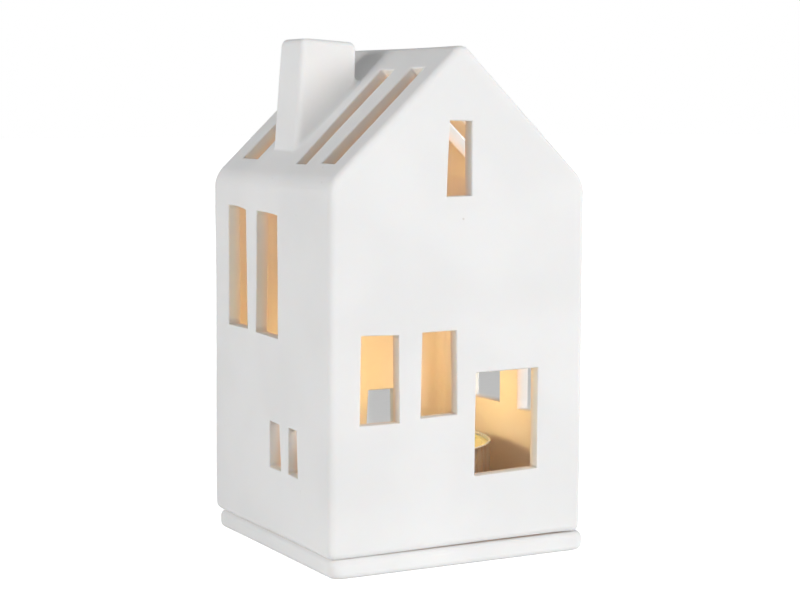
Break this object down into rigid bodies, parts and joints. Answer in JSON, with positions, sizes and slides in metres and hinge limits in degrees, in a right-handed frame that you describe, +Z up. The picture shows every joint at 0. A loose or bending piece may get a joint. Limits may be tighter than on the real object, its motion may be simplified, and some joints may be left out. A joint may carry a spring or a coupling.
{
  "type": "tealight house",
  "caption": "Small unglazed porcelain house with cut windows and roof slots that lifts off its base plate over a tealight.",
  "frame": {"origin": "centre of the base plate's underside, on the table", "axes": "+Z up; +X to the right and +Y to the back, seen from the front gable, which faces -Y; the chimney stands on the roof slope that faces -X"},
  "size_m": [0.0593, 0.0566, 0.1049],
  "materials": {
    "bisque_porcelain": "unglazed, matt, very fine grain",
    "cup_aluminium": "thin drawn sheet, satin",
    "candle_wax": "translucent paraffin wax, softly glossy",
    "sustainer_tin": "pressed tinplate",
    "wick_cotton": "braided cotton, burnt black at the tip"
  },
  "bodies": {
    "plate": {"base_plate": "bisque_porcelain"},
    "house": {"house_shell": "bisque_porcelain"},
    "tealight": {"tealight_cup": "cup_aluminium", "tealight_wax": "candle_wax", "wick_sustainer": "sustainer_tin", "wick": "wick_cotton"}
  },
  "joints": [
    {"name": "house_lift", "type": "slide", "parent": "plate", "child": "house", "axis": [0, 0, 1], "range_m": [0, 0.03]},
    {"name": "tealight_lift", "type": "slide", "parent": "plate", "child": "tealight", "axis": [0, 0, 1], "range_m": [0, 0.02]}
  ]
}
